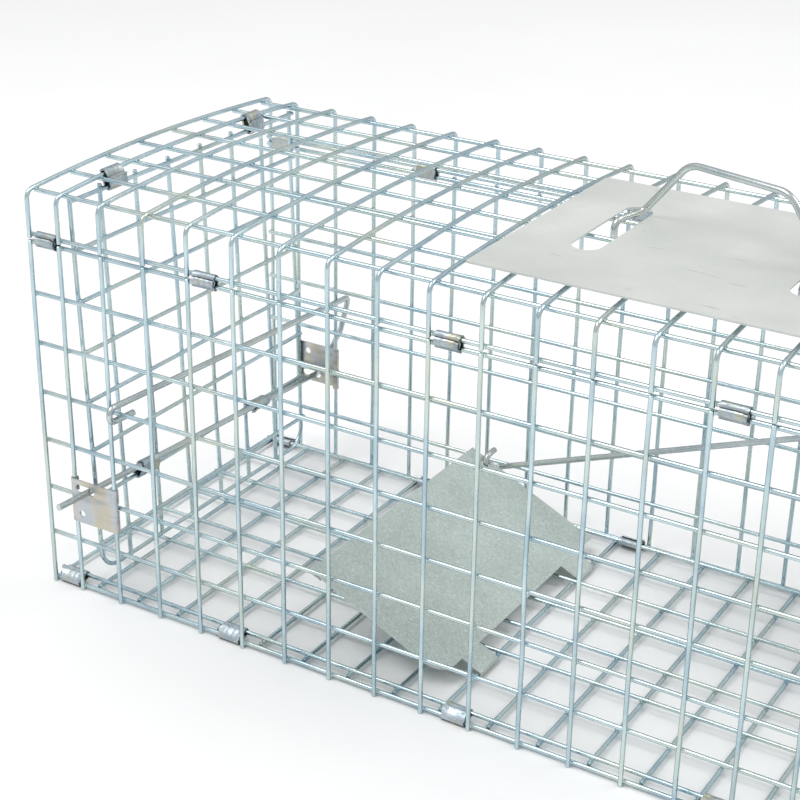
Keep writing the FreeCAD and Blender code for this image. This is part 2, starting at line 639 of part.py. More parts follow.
# ---------------------------------------------------------------- trigger
def trigger_pan():
    """A ramp of sheet metal with a folded hem, on two tabs curled round a floor wire.
    Origin: the middle of that wire; the ramp lies along local -X."""
    body = new_body("trigger_pan")
    inner = "( mesh_wire / 2 + pan_bore_gap )"
    outer = "( %s + pan_sheet )" % inner
    hem_top = "( %s - pan_hem_gap )" % inner
    hem_low = "( %s - pan_sheet )" % hem_top
    edge = "( - pan_length )"
    profile = new_sketch(body, "ramp_profile", "XZ", {"z": "- pan_half"})
    add_outline(profile, [("- pan_root", outer), (edge, outer), (edge, hem_low),
                          (edge + " + pan_hem", hem_low), (edge + " + pan_hem", hem_top),
                          (edge + " + pan_sheet", hem_top), (edge + " + pan_sheet", inner),
                          ("- pan_root", inner)])
    pad(body, "ramp", profile, "2 * pan_half")
    for name, start in (("near", "- pan_tab_outer"), ("far", "pan_tab_inner")):
        far_end = minus("%s + pan_tab_outer - pan_tab_inner" % start)
        tab = new_sketch(body, name + "_tab_profile", "XZ", {"z": far_end})
        joined, lip = "- pan_root - pan_sheet", "- pan_sheet / 2"
        lip_inner = "-sqrt(%s ^ 2 - pan_sheet ^ 2 / 4)" % inner
        lip_outer = "-sqrt(%s ^ 2 - pan_sheet ^ 2 / 4)" % outer
        add_outline(tab, [(joined, outer), (joined, inner), ("0", inner), ("0", minus(inner)),
                          (lip, lip_inner), (lip, lip_outer), ("0", minus(outer)), ("0", outer)],
                    {2: (inner, -1), 3: (inner, -1), 5: (outer, 1), 6: (outer, 1)})
        pad(body, name + "_tab", tab, "pan_tab_outer - pan_tab_inner")
    hole = new_sketch(body, "rod_hole_profile", "XY", {})
    add_circles(hole, "rod_hole", [("- rod_hole_out", "rod_hole_side")])
    pocket(body, "rod_hole", hole, "2 * " + outer, backwards=True)
    corner = new_sketch(body, "corner_profile", "XY", {"z": "- pan_hem"})
    cut = "( - pan_root - pan_corner )"
    beyond = "- pan_root + pan_corner"
    near_edge, inside = "- pan_half", "- pan_half + pan_corner"
    outside = "- pan_half - pan_corner"
    add_outline(corner, [(beyond, inside), ("- pan_root", inside), (cut, near_edge), (cut, outside),
                         (beyond, outside)], {1: ("pan_corner", -1)})
    pocket(body, "near_corner", corner, "2 * pan_hem", backwards=True)
    body.Placement = FreeCAD.Placement(Vector(), Rotation(Vector(0, 1, 0), value("pan_tilt")))
    pivot = "floor_start + pan_cell * mesh_pitch - " + HALF_LENGTH
    body.setExpression("Placement.Base.x", bound(pivot))
    body.setExpression("Placement.Base.z", bound("floor_wire_height"))


def rod_pivot():
    """The middle of the pan's rod hole, in the cage's frame."""
    tilt = math.radians(value("pan_tilt"))
    out = value("rod_hole_out")
    lift = value("mesh_wire / 2 + pan_bore_gap + pan_sheet / 2")
    x = value("floor_start + pan_cell * mesh_pitch - " + HALF_LENGTH)
    x += lift * math.sin(tilt) - out * math.cos(tilt)
    z = value("floor_wire_height") + out * math.sin(tilt) + lift * math.cos(tilt)
    return Vector(x, value("rod_hole_side"), z)


def trigger_rod():
    """Bent over above the pan, down through its hole, out to the far side, along it, and in
    under the set door. Origin: the middle of the pan's rod hole."""
    pivot = rod_pivot()
    slope = value("rod_slope")
    drop, outward = value("rod_drop"), value("rod_side - rod_hole_side")
    sweep = value("front_door_length + mesh_wire / 2 + form_wire / 2 + rod_tip_gap")
    hinge = Vector(value(HALF_LENGTH + " - hinge_inset"), 0, value("hinge_height")) - pivot
    along = Vector(1, 0, slope).normalize()
    away = hinge + Vector(0, 0, drop)
    away.y = 0
    near_point = away.dot(along)
    travel = near_point - math.sqrt(sweep ** 2 - away.dot(away) + near_point ** 2)
    tip = Vector(0, outward, -drop) + along * travel
    inward = Vector(tip.x, value("rod_tip_inner - rod_hole_side"), tip.z)
    above = value("rod_end_above")
    points = [Vector(0, value("rod_end_side"), above), Vector(0, 0, above), Vector(0, 0, -drop),
              Vector(0, outward, -drop), tip, inward]
    bends = [value("rod_bend")] * 4
    bent_wire("trigger_rod", points, bends, FreeCAD.Placement(pivot, Rotation()))


# ---------------------------------------------------------------- handle
def carry_handle():
    """A wire grip on two leaning legs, each hooked over and under a long wire of the roof.
    Origin: midway between the hooks, on the line through them; local X is that line."""
    side = value("row_pitch / 2")
    lift = value(crown("row_pitch / 2", NEST))
    rear = Vector(value("handle_rear"), side, lift)
    front = Vector(value("handle_front"), -side, lift)
    middle = (rear + front) / 2
    span = (front - rear).Length / 2
    yaw = math.degrees(math.atan2(front.y - rear.y, front.x - rear.x))
    leg, hook, tail = value("handle_leg_side"), -value("handle_hook_side"), value("handle_tail_side")
    top, low = value("handle_hook_top"), -value("handle_hook_low")
    half = []
    for end in (-1, 1):
        foot = end * span
        grip = end * (span - value("handle_lean"))
        half.append([Vector(foot, tail, low), Vector(foot, hook, low), Vector(foot, hook, top),
                     Vector(foot, leg, top), Vector(grip, leg, value("handle_rise"))])
    points = half[0] + half[1][::-1]
    leg_bends = [value("handle_hook_bend")] * 3
    grip_bend = value("handle_bend")
    bends = leg_bends + [grip_bend, grip_bend] + leg_bends
    bent_wire("carry_handle", points, bends, FreeCAD.Placement(middle, Rotation(UP, yaw)))


# ---------------------------------------------------------------- the whole trap
floor_panel()
side_panel("near_side_panel", 0)
side_panel("far_side_panel", 180)
top_panel()
all_seam_clips()
lock_plate("near_lock_plate", -1, "plate_lift")
lock_plate("far_lock_plate", 1, "far_plate_lift")
guard_plate()
rod_guide()
door("rear_door", "rear", 0)
hinge_clips("rear_hinge_clips", "rear", 0)
pin_clips()
lock_pin()
door("front_door", "front", 180)
hinge_clips("front_hinge_clips", "front", 180)
trigger_pan()
trigger_rod()
carry_handle()
doc.recompute()

for item in doc.Objects:
    if "Invalid" in item.State or "Error" in item.State:
        raise RuntimeError("%s did not build: %s" % (item.Name, item.State))
for part in parts:
    if part.Shape.isNull() or not part.Shape.isValid() or part.Shape.Volume <= 0:
        raise RuntimeError("%s has no valid shape" % part.Label)

os.makedirs("parts", exist_ok=True)
for part in parts:
    part.Shape.exportStep("parts/%s.step" % part.Label)
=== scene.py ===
"""Looks of the wire live catch trap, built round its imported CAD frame. Metres, +Z up.

The CAD meshes of the round wires are coarse, so every wire form and folded clip is rebuilt here
finer and stands for its CAD node. The flat sheet parts stay as the CAD made them.
"""
import json
import math
import random

import bpy
from mathutils import Matrix, Vector


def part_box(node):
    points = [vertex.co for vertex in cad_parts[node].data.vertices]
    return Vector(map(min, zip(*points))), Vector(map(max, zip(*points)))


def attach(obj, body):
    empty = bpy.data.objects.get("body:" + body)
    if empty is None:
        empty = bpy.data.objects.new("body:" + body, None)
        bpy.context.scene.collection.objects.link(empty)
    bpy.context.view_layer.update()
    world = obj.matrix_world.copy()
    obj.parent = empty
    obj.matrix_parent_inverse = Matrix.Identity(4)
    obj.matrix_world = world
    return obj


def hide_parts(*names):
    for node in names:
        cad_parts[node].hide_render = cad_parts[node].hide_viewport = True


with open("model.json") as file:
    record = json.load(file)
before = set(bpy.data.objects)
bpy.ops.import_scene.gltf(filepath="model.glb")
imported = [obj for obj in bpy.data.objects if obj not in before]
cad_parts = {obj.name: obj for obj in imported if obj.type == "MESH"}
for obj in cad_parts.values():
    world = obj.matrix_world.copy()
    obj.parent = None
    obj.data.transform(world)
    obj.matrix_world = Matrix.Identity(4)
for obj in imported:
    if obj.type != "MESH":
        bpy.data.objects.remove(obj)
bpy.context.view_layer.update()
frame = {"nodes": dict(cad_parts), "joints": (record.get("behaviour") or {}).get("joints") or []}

SEED = 7
rng = random.Random(SEED)
MM = 0.001

# ---------------------------------------------------------------- sizes, from the frame
MESH_WIRE = 1.1 * MM              # wire radii
FORM_WIRE = 1.6 * MM
NEST = 1.8 * MM                   # centre distance of two welded wires
PITCH = 25.4 * MM                 # cross wires along the cage
ROW = 26.3 * MM                   # long wires
CELLS = 23
ROWS = 8
side_low, side_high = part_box("near_side_panel")
floor_low, floor_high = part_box("floor_panel")
roof_low, roof_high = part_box("top_panel")
HALF_LENGTH = side_high.x - MESH_WIRE
HALF_WIDTH = -side_low.y - MESH_WIRE
END_CELL = HALF_LENGTH - CELLS * PITCH / 2
FOOT = 2.0 * MM                   # height of a side panel's lowest long wire
ROOF_FOOT = roof_low.z
ROOF_BEND = 4.5 * MM              # bend radius where a roof wire turns down
CROWN = 3.9 * MM                  # rise of the roof's middle over its edges
CROWN_RADIUS = (HALF_WIDTH ** 2 + CROWN ** 2) / (2 * CROWN)
CROWN_CENTRE = roof_high.z - MESH_WIRE - CROWN_RADIUS
FLANGE = 190.0 * MM               # height of the long wire on the roof's legs
FLOOR_HALF = floor_high.y
FLOOR_CROSS = floor_low.z + MESH_WIRE
FLOOR_START = 1.3 * MM            # first floor cross wire, from the rear end
LONG_PLACES = [(index - (ROWS - 1) / 2) * ROW for index in range(ROWS)]
UPRIGHTS = [-HALF_LENGTH] + [END_CELL - HALF_LENGTH + k * PITCH for k in range(CELLS + 1)] + [HALF_LENGTH]
JOINTS = {joint["name"]: joint for joint in frame["joints"]}


def crown_height(across, below=0.0):
    """Height of a roof wire that lies 'below' the crowned cross wires."""
    return CROWN_CENTRE + math.sqrt((CROWN_RADIUS - below) ** 2 - across ** 2)


# ---------------------------------------------------------------- mesh building
class Form:
    """Collects vertices and faces of one piece."""

    def __init__(self):
        self.points = []
        self.faces = []

    def ring(self, points):
        """Adds a row of points and gives their numbers."""
        start = len(self.points)
        self.points.extend(points)
        return list(range(start, start + len(points)))

    def bridge(self, first, second):
        """Faces between two closed rings of the same count."""
        count = len(first)
        for i in range(count):
            j = (i + 1) % count
            self.faces.append((first[i], first[j], second[j], second[i]))

    def cap(self, ring, flip=False):
        self.faces.append(tuple(reversed(ring)) if flip else tuple(ring))

    def grid(self, rows):
        """Faces between neighbouring open rows of vertex numbers."""
        for lower, upper in zip(rows, rows[1:]):
            for i in range(len(lower) - 1):
                self.faces.append((lower[i], lower[i + 1], upper[i + 1], upper[i]))


BEND_STEPS = 7                    # straight steps in a round bend
END_CHAMFER = 0.22                # chamfer of a wire's cut end, as a share of its radius


def arc_corner(before, corner, after, radius):
    """Points of a round bend of the given radius at a corner."""
    back = (before - corner).normalized()
    ahead = (after - corner).normalized()
    half = back.angle(ahead) / 2
    reach = min(radius / math.tan(half), (before - corner).length * 0.98, (after - corner).length * 0.98)
    start, end = corner + back * reach, corner + ahead * reach
    centre = corner + (back + ahead).normalized() * (reach / math.cos(half))
    sweep = (start - centre).angle(end - centre)
    axis = (start - centre).cross(end - centre).normalized()
    return [centre + Matrix.Rotation(sweep * i / BEND_STEPS, 3, axis) @ (start - centre)
            for i in range(BEND_STEPS + 1)]


def bent_path(points, radii):
    """A path through the points with round bends at the inner ones."""
    path = [points[0]]
    for index, radius in enumerate(radii, start=1):
        path += arc_corner(points[index - 1], points[index], points[index + 1], radius)
    path.append(points[-1])
    return path


def divided(path, step):
    """The path with its long stretches cut into shorter ones."""
    result = [path[0]]
    for start, end in zip(path, path[1:]):
        count = max(1, round((end - start).length / step))
        result += [start.lerp(end, i / count) for i in range(1, count + 1)]
    return result


def wavy(path, amount):
    """The path with the slight waviness of drawn wire: slow sine drift across it."""
    length = sum((b - a).length for a, b in zip(path, path[1:]))
    waves = [(rng.uniform(0.6, 2.6), rng.uniform(0, math.tau), rng.uniform(-1, 1)) for _ in range(4)]
    along = (path[-1] - path[0]).normalized()
    side = along.orthogonal().normalized()
    other = along.cross(side)
    travelled = 0.0
    result = []
    for index, point in enumerate(path):
        if index:
            travelled += (point - path[index - 1]).length
        t = travelled / length
        shift = [sum(size * math.sin(math.tau * turns * t + phase) for turns, phase, size in waves[k::2])
                 for k in (0, 1)]
        result.append(point + (side * shift[0] + other * shift[1]) * amount)
    return result


def tube(form, path, radius, sides=12):
    """A round wire along a path, with slightly chamfered cut ends."""
    tangents = []
    for index in range(len(path)):
        before = path[max(index - 1, 0)]
        after = path[min(index + 1, len(path) - 1)]
        tangents.append((after - before).normalized())
    normal = tangents[0].orthogonal().normalized()
    rings = []

    def circle(centre, tangent, size):
        other = tangent.cross(normal)
        return form.ring([centre + (normal * math.cos(a) + other * math.sin(a)) * size
                          for a in (math.tau * i / sides for i in range(sides))])

    nick = radius * END_CHAMFER
    for index, (centre, tangent) in enumerate(zip(path, tangents)):
        normal = (normal - tangent * normal.dot(tangent)).normalized()
        if index == 0:
            rings.append(circle(centre, tangent, radius - nick))
            rings.append(circle(centre + tangent * nick, tangent, radius))
        elif index == len(path) - 1:
            rings.append(circle(centre - tangent * nick, tangent, radius))
            rings.append(circle(centre, tangent, radius - nick))
        else:
            rings.append(circle(centre, tangent, radius))
    for first, second in zip(rings, rings[1:]):
        form.bridge(first, second)
    form.cap(rings[0], flip=True)
    form.cap(rings[-1])


def weld(form, centre, first, second):
    """A small squeezed nugget where two crossing wires are spot-welded."""
    out = first.cross(second).normalized()
    sides, bands, flatness = 10, 5, 0.55
    rows = []
    length = MESH_WIRE * rng.uniform(1.25, 1.5)
    for band in range(1, bands):
        polar = math.pi * band / bands
        rows.append(form.ring([centre + out * math.cos(polar) * MESH_WIRE * flatness
                               + (first * math.cos(a) + second * math.sin(a)) * math.sin(polar) * length
                               for a in (math.tau * i / sides for i in range(sides))]))
    for lower, upper in zip(rows, rows[1:]):
        form.bridge(lower, upper)
    form.cap(rows[0], flip=True)
    form.cap(rows[-1])


def piece(name, form, material, body, node, sharp=38.0):
    """Makes the object with smooth faces and sharp edges, on its body and in its CAD node's place."""
    mesh = bpy.data.meshes.new(name)
    mesh.from_pydata([tuple(point) for point in form.points], [], form.faces)
    mesh.validate()
    mesh.polygons.foreach_set("use_smooth", [True] * len(mesh.polygons))
    mesh.set_sharp_from_angle(angle=math.radians(sharp))
    mesh.materials.append(material)
    item = bpy.data.objects.new(name, mesh)
    bpy.context.scene.collection.objects.link(item)
    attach(item, body)
    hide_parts(node)


# ---------------------------------------------------------------- materials
class Shader:
    """Small helper that builds one node material."""

    def __init__(self, name):
        self.material = bpy.data.materials.new(name)
        self.material.use_nodes = True
        self.nodes = self.material.node_tree.nodes
        self.links = self.material.node_tree.links
        self.surface = self.nodes["Principled BSDF"]
        self.place = self.add("ShaderNodeTexCoord").outputs["Object"]

    def add(self, kind, **values):
        node = self.nodes.new(kind)
        for key, entry in values.items():
            setattr(node, key, entry)
        return node

    def link(self, source, target):
        self.links.new(source, target)

    def stretched(self, scale, turn=(0, 0, 0)):
        """The object's own coordinates, scaled, and turned by degrees."""
        mapping = self.add("ShaderNodeMapping")
        mapping.inputs["Scale"].default_value = scale
        mapping.inputs["Rotation"].default_value = [math.radians(angle) for angle in turn]
        self.link(self.place, mapping.inputs["Vector"])
        return mapping.outputs["Vector"]

    def noise(self, scale, detail=4.0, rough=0.55, place=None):
        node = self.add("ShaderNodeTexNoise")
        node.inputs["Scale"].default_value = scale
        node.inputs["Detail"].default_value = detail
        node.inputs["Roughness"].default_value = rough
        self.link(place or self.place, node.inputs["Vector"])
        return node.outputs["Fac"]

    def ramp(self, source, stops):
        """A colour for each value, from (position, colour) stops."""
        node = self.add("ShaderNodeValToRGB")
        band = node.color_ramp
        while len(band.elements) < len(stops):
            band.elements.new(0.5)
        for element, (position, colour) in zip(band.elements, stops):
            element.position = position
            element.color = (*colour, 1.0)
        self.link(source, node.inputs["Fac"])
        return node.outputs["Color"]

    def spread(self, source, low, high, start=0.3, end=0.7):
        """Maps a value between start and end onto the range from low to high."""
        node = self.add("ShaderNodeMapRange")
        node.inputs["From Min"].default_value = start
        node.inputs["From Max"].default_value = end
        node.inputs["To Min"].default_value = low
        node.inputs["To Max"].default_value = high
        self.link(source, node.inputs["Value"])
        return node.outputs["Result"]

    def mix(self, factor, colour, shade):
        """The colour, mixed with a plain shade by the factor."""
        node = self.add("ShaderNodeMix", data_type="RGBA")
        mix_factor, colour_a, colour_b = node.inputs[0], node.inputs[6], node.inputs[7]
        self.link(factor, mix_factor)
        self.link(colour, colour_a)
        colour_b.default_value = (*shade, 1.0)
        return node.outputs[2]

    def painted_rim_shade(self, colour, shade, depth):
        """Paints shade into the colour where the surface turns away from view: the dark edges that round
        bright wire shows under light.
        """
        node = self.add("ShaderNodeLayerWeight")
        node.inputs["Blend"].default_value = 0.5
        return self.mix(self.spread(node.outputs["Facing"], 0.0, depth, start=0.38, end=0.92), colour, shade)

    def painted_crease_shade(self, colour, shade, depth, reach):
        """Paints shade into the colour in seams, folds and open ends, where nearby surfaces close in."""
        node = self.add("ShaderNodeAmbientOcclusion", samples=8)
        node.inputs["Distance"].default_value = reach
        return self.mix(self.spread(node.outputs["AO"], depth, 0.0, start=0.35, end=0.85), colour, shade)

    def bump(self, source, strength, distance, after=None):
        """A bumped normal, on top of an earlier one if given."""
        node = self.add("ShaderNodeBump")
        node.inputs["Strength"].default_value = strength
        node.inputs["Distance"].default_value = distance
        self.link(source, node.inputs["Height"])
        if after is not None:
            self.link(after, node.inputs["Normal"])
        return node.outputs["Normal"]

    def finish(self, colour, roughness, normal=None, metallic=1.0):
        """Joins everything to the surface and gives the material."""
        self.surface.inputs["Metallic"].default_value = metallic
        self.link(colour, self.surface.inputs["Base Color"])
        self.link(roughness, self.surface.inputs["Roughness"])
        if normal is not None:
            self.link(normal, self.surface.inputs["Normal"])
        return self.material


def zinc_wire(name, cool, pale, warm, tint_share):
    """Bright zinc plating: cool silver drifting to pale, with patches of yellow-green tint."""
    shader = Shader(name)
    drift = shader.noise(38.0, detail=5.0)
    base = shader.ramp(drift, [(0.32, cool), (0.68, pale)])
    patches = shader.spread(shader.noise(21.0, detail=3.0), 0.0, tint_share, start=0.46, end=0.68)
    colour = shader.mix(patches, base, warm)
    specks = shader.spread(shader.noise(900.0, detail=2.0), 0.0, 0.35, start=0.62, end=0.74)
    colour = shader.mix(specks, colour, tuple(part * 0.62 for part in cool))
    # painted shade: the wire's colour darkens toward the edges that turn away from view
    colour = shader.painted_rim_shade(colour, (0.10, 0.17, 0.22), 0.80)
    roughness = shader.spread(shader.noise(140.0), 0.16, 0.32)
    grain = shader.bump(shader.noise(1600.0, detail=3.0), 0.10, 0.00010)
    dents = shader.bump(shader.noise(260.0, detail=2.0), 0.14, 0.00030, after=grain)
    return shader.finish(colour, roughness, dents)


def clip_steel():
    """Folded strip: zinc plating, scuffed by the pliers that closed it."""
    shader = Shader("clip_steel")
    base = shader.ramp(shader.noise(150.0), [(0.30, (0.34, 0.41, 0.45)), (0.70, (0.56, 0.62, 0.66))])
    tint = shader.spread(shader.noise(110.0), 0.0, 0.70, start=0.50, end=0.64)
    colour = shader.mix(tint, base, (0.56, 0.53, 0.38))
    scuffs = shader.noise(420.0, detail=3.0, place=shader.stretched((1.0, 1.0, 6.0)))
    colour = shader.mix(shader.spread(scuffs, 0.0, 0.6, start=0.56, end=0.70), colour, (0.20, 0.22, 0.24))
    # painted shade: the strip's colour darkens toward the edges that turn away from view
    colour = shader.painted_rim_shade(colour, (0.10, 0.13, 0.16), 0.60)
    # painted shade: near-black in the clip's seams, folds and open ends
    colour = shader.painted_crease_shade(colour, (0.03, 0.03, 0.02), 0.90, 2.0 * MM)
    roughness = shader.spread(scuffs, 0.34, 0.58)
    dents = shader.bump(shader.noise(240.0, detail=2.0), 0.5, 0.0006)
    return shader.finish(colour, roughness, shader.bump(scuffs, 0.4, 0.0003, after=dents))


def lock_plate_steel():
    """Zinc plate passivated unevenly, so that lilac, yellow and blue-grey films drift over it."""
    shader = Shader("lock_plate_steel")
    film = shader.noise(70.0, detail=4.0, rough=0.5, place=shader.stretched((1.0, 1.0, 0.45)))
    colour = shader.ramp(film, [(0.30, (0.46, 0.53, 0.58)), (0.44, (0.56, 0.58, 0.60)),
                                (0.53, (0.58, 0.54, 0.43)), (0.60, (0.52, 0.53, 0.53)),
                                (0.74, (0.54, 0.51, 0.56))])
    lines = shader.noise(300.0, detail=3.0, place=shader.stretched((0.12, 1.0, 1.0)))
    colour = shader.mix(shader.spread(lines, 0.0, 0.45, start=0.54, end=0.70), colour, (0.30, 0.32, 0.34))
    # painted shade: darker in the plate's folds and recesses
    colour = shader.painted_crease_shade(colour, (0.10, 0.10, 0.10), 0.6, 2.0 * MM)
    roughness = shader.spread(lines, 0.34, 0.54)
    return shader.finish(colour, roughness, shader.bump(lines, 0.3, 0.0002))


def guard_steel():
    """Skin-passed galvanised sheet: matte pale grey with faint clouds and short pressed dashes."""
    shader = Shader("guard_steel")
    clouds = shader.noise(20.0, detail=4.0)
    colour = shader.ramp(clouds, [(0.30, (0.66, 0.68, 0.65)), (0.70, (0.74, 0.76, 0.73))])
    grain = shader.noise(700.0, detail=4.0)
    colour = shader.mix(shader.spread(grain, 0.0, 0.12, start=0.45, end=0.75), colour, (0.52, 0.54, 0.52))
    dashes = shader.noise(300.0, detail=1.0, place=shader.stretched((0.16, 1.0, 1.0), (0, 0, 4)))
    marks = shader.spread(dashes, 0.0, 0.55, start=0.725, end=0.77)
    colour = shader.mix(marks, colour, (0.46, 0.48, 0.47))
    roughness = shader.spread(clouds, 0.46, 0.60)
    fine = shader.bump(shader.noise(1500.0, detail=3.0), 0.25, 0.0001)
    waves = shader.bump(shader.noise(9.0, detail=1.0), 0.3, 0.0015, after=fine)
    return shader.finish(colour, roughness, shader.bump(marks, 0.2, 0.0001, after=waves), metallic=0.7)


def pan_steel():
    """Galvanised sheet of the pan: grey-green, with dense fine scratches on the slant."""
    shader = Shader("pan_steel")
    clouds = shader.noise(30.0, detail=5.0)
    base = shader.ramp(clouds, [(0.30, (0.50, 0.57, 0.54)), (0.70, (0.61, 0.68, 0.64))])
    spangle = shader.add("ShaderNodeTexVoronoi")
    spangle.inputs["Scale"].default_value = 220.0
    shader.link(shader.place, spangle.inputs["Vector"])
    tone = shader.add("ShaderNodeSeparateColor")
    shader.link(spangle.outputs["Color"], tone.inputs["Color"])
    grains = shader.spread(tone.outputs["Red"], 0.0, 0.14, start=0.0, end=1.0)
    colour = shader.mix(grains, base, (0.36, 0.41, 0.40))
    slant = shader.stretched((0.03, 1.0, 1.0), (0, 0, 40))
    strokes = shader.noise(1400.0, detail=5.0, rough=0.7, place=slant)
    other = shader.noise(1500.0, detail=4.0, place=shader.stretched((0.02, 1.0, 1.0), (0, 0, 62)))
    colour = shader.mix(shader.spread(strokes, 0.0, 0.80, start=0.50, end=0.64), colour, (0.80, 0.86, 0.83))
    colour = shader.mix(shader.spread(other, 0.0, 0.50, start=0.52, end=0.68), colour, (0.34, 0.39, 0.38))
    # painted shade: darker along the pan's hem and folded edges
    colour = shader.painted_crease_shade(colour, (0.12, 0.14, 0.13), 0.85, 3.0 * MM)
    roughness = shader.spread(strokes, 0.40, 0.60)
    grain = shader.bump(other, 0.3, 0.0002)
    waves = shader.bump(shader.noise(14.0, detail=1.0), 0.35, 0.002, after=grain)
    return shader.finish(colour, roughness, shader.bump(strokes, 0.35, 0.0002, after=waves), metallic=0.85)


MESH_STEEL = zinc_wire("mesh_zinc", (0.40, 0.53, 0.60), (0.62, 0.76, 0.79), (0.67, 0.69, 0.54), 0.60)
FORM_STEEL = zinc_wire("form_zinc", (0.44, 0.50, 0.52), (0.64, 0.69, 0.69), (0.62, 0.62, 0.50), 0.40)
CLIP_STEEL = clip_steel()
LOCK_STEEL = lock_plate_steel()
GUARD_STEEL = guard_steel()
PAN_STEEL = pan_steel()

X_AXIS, Y_AXIS, Z_AXIS = Vector((1, 0, 0)), Vector((0, 1, 0)), Vector((0, 0, 1))
WAVE = 0.16 * MM                  # how far a mesh wire wanders
STEP = 13.0 * MM                  # length of a straight wire's segments


def straight(form, start, end, wave=WAVE):
    """A mesh wire from start to end, slightly wavy."""
    tube(form, wavy(divided([start, end], STEP), wave), MESH_WIRE)


# ---------------------------------------------------------------- mesh panels
def side_wires(name, node, side):
    """Uprights outside, long wires inside, welded at every crossing."""
    form = Form()
    across, inner = side * HALF_WIDTH, side * (HALF_WIDTH - NEST)
    reach = HALF_LENGTH + MESH_WIRE
    for x in UPRIGHTS:
        top = side_high.z + rng.uniform(-0.4, 0.3) * MM
        straight(form, Vector((x, across, 0)), Vector((x, across, top)))
    for row in range(ROWS):
        z = FOOT + row * ROW
        straight(form, Vector((-reach, inner, z)), Vector((reach, inner, z)))
        for x in UPRIGHTS:
            weld(form, Vector((x, side * (HALF_WIDTH - NEST / 2), z)), X_AXIS, Z_AXIS)
    piece(name, form, MESH_STEEL, "root", node)


def floor_wires():
    """Cross wires with long wires on top, welded at every crossing."""
    form = Form()
    reach = HALF_LENGTH + MESH_WIRE
    long_height = FLOOR_CROSS + NEST
    places = [FLOOR_START - HALF_LENGTH + k * PITCH for k in range(CELLS + 2)]
    for x in places:
        straight(form, Vector((x, -FLOOR_HALF, FLOOR_CROSS)), Vector((x, FLOOR_HALF, FLOOR_CROSS)))
    for y in LONG_PLACES:
        straight(form, Vector((-reach, y, long_height)), Vector((reach, y, long_height)))
        for x in places:
            weld(form, Vector((x, y, FLOOR_CROSS + NEST / 2)), X_AXIS, Y_AXIS)
    piece("floor_wires", form, MESH_STEEL, "root", "floor_panel")


def roof_wires():
    """Crowned cross wires bent down as legs on both sides, over long wires."""
    form = Form()
    reach = HALF_LENGTH + MESH_WIRE
    bend_side = HALF_WIDTH - ROOF_BEND
    bend_height = crown_height(bend_side, ROOF_BEND)
    lean = math.asin(bend_side / (CROWN_RADIUS - ROOF_BEND))
    crown_steps = 14
    for x in UPRIGHTS:
        path = [Vector((x, -HALF_WIDTH, ROOF_FOOT)), Vector((x, -HALF_WIDTH, bend_height - ROOF_BEND))]
        half = []
        for step in range(BEND_STEPS + 1):
            angle = (math.pi / 2 - lean) * step / BEND_STEPS
            half.append((bend_side + ROOF_BEND * math.cos(angle), bend_height + ROOF_BEND * math.sin(angle)))
        crown_places = [bend_side * (1 - 2 * k / crown_steps) for k in range(1, crown_steps)]
        profile = [(-across, z) for across, z in half]
        profile += [(-across, crown_height(across)) for across in crown_places]
        profile += half[::-1]
        path += [Vector((x, across, z)) for across, z in profile]
        path += [Vector((x, HALF_WIDTH, bend_height - ROOF_BEND)), Vector((x, HALF_WIDTH, ROOF_FOOT))]
        tube(form, wavy(path, WAVE * 0.7), MESH_WIRE)
    long_lines = [(y, crown_height(y, NEST)) for y in LONG_PLACES]
    for y, z in long_lines:
        straight(form, Vector((-reach, y, z)), Vector((reach, y, z)))
        for x in UPRIGHTS:
            weld(form, Vector((x, y, z + NEST / 2)), X_AXIS, Y_AXIS)
    for side in (-1, 1):
        y = side * (HALF_WIDTH - NEST)
        straight(form, Vector((-reach, y, FLANGE)), Vector((reach, y, FLANGE)))
        for x in UPRIGHTS:
            weld(form, Vector((x, side * (HALF_WIDTH - NEST / 2), FLANGE)), X_AXIS, Z_AXIS)
    piece("roof_wires", form, MESH_STEEL, "root", "top_panel")


side_wires("near_side_wires", "near_side_panel", -1)
side_wires("far_side_wires", "far_side_panel", 1)
floor_wires()
roof_wires()

# ---------------------------------------------------------------- doors
ROW_START = 24.5 * MM             # first cross wire below the hinge wire
DOOR_ROWS = 7
DOOR_COLUMNS = 6
DOOR_STUB = 2.4 * MM              # upright's end above the hinge wire
DOOR_CORNER = 12.0 * MM           # bend radius of the edge wire
# half: middle to edge wire; length: hinge wire to lower edge; first: first upright; angles in degrees
DOORS = {
    "rear_door": {"joint": "rear_door_swing", "half": 90.1 * MM, "length": 199.4 * MM,
                  "first": -68.1 * MM, "lean": 1.9, "turn": 0.0},
    "front_door": {"joint": "front_door_swing", "half": 81.5 * MM, "length": 209.3 * MM,
                   "first": -65.75 * MM, "lean": 16.3, "turn": 180.0},
}


def door_place(door):
    """Local door frame (hinge wire at the origin, door hanging down) to the row frame."""
    lean = Matrix.Rotation(math.radians(-door["lean"]), 4, "Y")
    turn = Matrix.Rotation(math.radians(door["turn"]), 4, "Z")
    return Matrix.Translation(Vector(JOINTS[door["joint"]]["pos_m"])) @ turn @ lean


